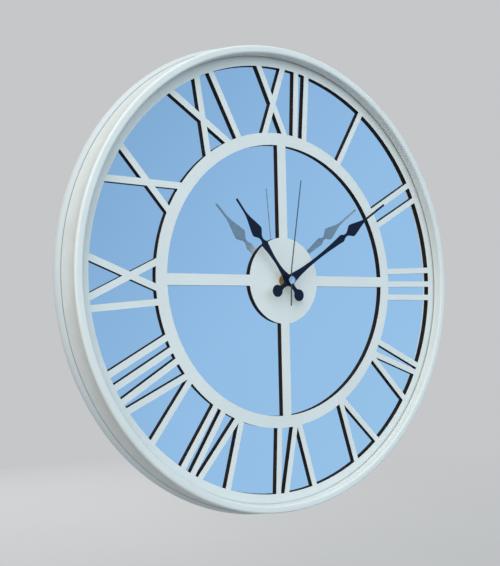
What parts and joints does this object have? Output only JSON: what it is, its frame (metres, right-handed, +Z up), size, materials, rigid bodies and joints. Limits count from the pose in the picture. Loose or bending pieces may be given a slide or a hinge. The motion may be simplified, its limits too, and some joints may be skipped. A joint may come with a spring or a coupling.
{
  "type": "mirror wall clock",
  "caption": "Round wall clock with a white Roman fretwork dial over a mirror, spade hands, a coved frame and a battery quartz movement that hangs by a keyhole plate.",
  "frame": {"origin": "centre of the keyhole's round mouth in the hanger plate, on the wall plane", "axes": "+Z up, +Y into the wall, the dial faces -Y, its centre 200 mm below the origin"},
  "size_m": [0.5, 0.054, 0.5],
  "materials": {
    "frame_white": "satin moulded, painted off-white",
    "dial_white": "thin fibreboard, white satin paint on the front, laser-burnt brown-black edges",
    "mirror": "polished mirror",
    "board_brown": "raw hardboard",
    "pine": "sawn softwood",
    "zinc": "zinc plated",
    "brass": "turned brass",
    "black_rubber": "matt",
    "hand_navy": "satin blue-black paint on the front, bare grey back",
    "second_grey": "dark grey paint",
    "cap_silver": "polished",
    "collet_metal": "turned",
    "case_black": "moulded, fine texture",
    "gear_white": "moulded acetal",
    "bridge_grey": "moulded",
    "rotor_magnet": "sintered magnet with moulded pinion",
    "pcb_green": "solder mask",
    "chip_black": "potting resin",
    "coil_copper": "enamelled copper wire on a bobbin",
    "stator_iron": "soft iron sheet",
    "contact_nickel": "nickel plated spring strip",
    "cell_jacket": "plain printed sleeve, no wording",
    "knob_black": "moulded, fluted edge"
  },
  "bodies": {
    "clock": {"bezel_frame": "frame_white", "dial_grille": "dial_white", "mirror_disc": "mirror", "back_board": "board_brown", "retaining_clips": "zinc", "clip_screws": "zinc", "hanger_block": "pine", "block_screws": "zinc", "hanger_plate": "zinc", "hanger_screws": "zinc", "movement_cover": "case_black", "movement_case": "case_black", "threaded_bush": "brass", "rubber_gasket": "black_rubber", "dial_washer": "brass", "hex_nut": "brass", "train_bridge": "bridge_grey", "movement_screws": "zinc", "circuit_board": "pcb_green", "clock_chip": "chip_black", "quartz_crystal": "contact_nickel", "drive_coil": "coil_copper", "coil_core": "stator_iron", "stator": "stator_iron", "positive_contact": "contact_nickel", "negative_contact": "contact_nickel"},
    "hour": {"hour_wheel": "gear_white", "hour_collet": "collet_metal", "hour_hand": "hand_navy"},
    "minute": {"minute_arbor": "gear_white", "minute_collet": "collet_metal", "minute_hand": "hand_navy"},
    "second": {"second_wheel": "gear_white", "second_hand": "second_grey", "hand_cap": "cap_silver"},
    "minute_wheel": {"minute_wheel": "gear_white"},
    "centre_wheel": {"centre_wheel": "gear_white"},
    "third_wheel": {"third_wheel": "gear_white"},
    "intermediate_wheel": {"intermediate_wheel": "gear_white"},
    "rotor": {"rotor": "rotor_magnet"},
    "setting_knob": {"setting_knob": "knob_black"},
    "battery": {"battery_cell": "cell_jacket"}
  },
  "joints": [
    {"name": "minute_hand_turn", "type": "hinge", "parent": "clock", "child": "minute", "pos_m": [0, -0.02, -0.2], "axis": [0, 1, 0], "continuous": true},
    {"name": "hour_hand_turn", "type": "hinge", "parent": "clock", "child": "hour", "pos_m": [0, -0.02, -0.2], "axis": [0, 1, 0], "continuous": true},
    {"name": "minute_wheel_turn", "type": "hinge", "parent": "clock", "child": "minute_wheel", "pos_m": [-0.01, -0.02, -0.2], "axis": [0, 1, 0], "continuous": true},
    {"name": "setting_knob_turn", "type": "hinge", "parent": "clock", "child": "setting_knob", "pos_m": [-0.01562, -0.02, -0.19026], "axis": [0, 1, 0], "continuous": true},
    {"name": "second_hand_turn", "type": "hinge", "parent": "clock", "child": "second", "pos_m": [0, -0.02, -0.2], "axis": [0, 1, 0], "continuous": true},
    {"name": "third_wheel_turn", "type": "hinge", "parent": "clock", "child": "third_wheel", "pos_m": [0, -0.02, -0.1898], "axis": [0, 1, 0], "continuous": true},
    {"name": "centre_wheel_turn", "type": "hinge", "parent": "clock", "child": "centre_wheel", "pos_m": [0, -0.02, -0.2], "axis": [0, 1, 0], "continuous": true},
    {"name": "intermediate_wheel_turn", "type": "hinge", "parent": "clock", "child": "intermediate_wheel", "pos_m": [0.01036, -0.02, -0.2], "axis": [0, 1, 0], "continuous": true},
    {"name": "rotor_turn", "type": "hinge", "parent": "clock", "child": "rotor", "pos_m": [0.01611, -0.02, -0.19518], "axis": [0, 1, 0], "continuous": true},
    {"name": "battery_slide", "type": "slide", "parent": "clock", "child": "battery", "axis": [0, 1, 0], "range_m": [0, 0.02]}
  ],
  "couplings": [
    {"joint": "hour_hand_turn", "follows": "minute_hand_turn", "ratio": 0.083333},
    {"joint": "minute_wheel_turn", "follows": "minute_hand_turn", "ratio": -0.33333},
    {"joint": "setting_knob_turn", "follows": "minute_hand_turn", "ratio": 0.66667},
    {"joint": "third_wheel_turn", "follows": "second_hand_turn", "ratio": -0.13333},
    {"joint": "centre_wheel_turn", "follows": "second_hand_turn", "ratio": 0.016667},
    {"joint": "intermediate_wheel_turn", "follows": "second_hand_turn", "ratio": -6},
    {"joint": "rotor_turn", "follows": "second_hand_turn", "ratio": 30}
  ]
}
